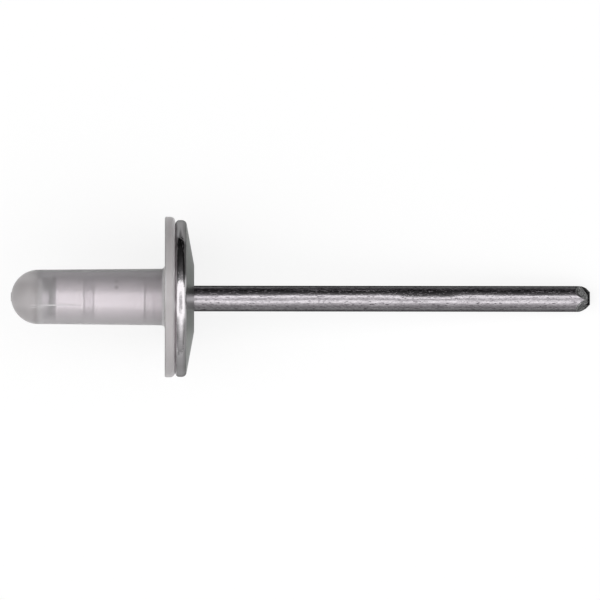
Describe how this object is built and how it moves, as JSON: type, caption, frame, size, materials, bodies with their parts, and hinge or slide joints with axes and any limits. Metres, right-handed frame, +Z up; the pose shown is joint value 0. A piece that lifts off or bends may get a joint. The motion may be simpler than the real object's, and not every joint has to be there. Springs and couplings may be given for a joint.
{
  "type": "blind rivet",
  "caption": "Unset blind rivet lying on its side: a grooved tubular shank with a wide head on a steel mandrel, sealed in a closed and flanged plastic sleeve.",
  "frame": {"origin": "centre of the sleeve's seat face, where the rivet meets the sheet", "axes": "+Z up, off the surface that it lies on; the rivet's own axis lies in the XZ plane, with the mandrel's free end towards +X and tilted 9.14 degrees down, and the dome towards -X"},
  "size_m": [0.0585, 0.0163, 0.0163],
  "materials": {
    "sleeve": "milky translucent, satin",
    "rivet_body": "tumbled, with a polished rim",
    "mandrel": "drawn and zinc plated wire, lightly scratched"
  },
  "bodies": {
    "root": {"sleeve": "sleeve", "rivet_body": "rivet_body", "mandrel": "mandrel"}
  },
  "joints": []
}
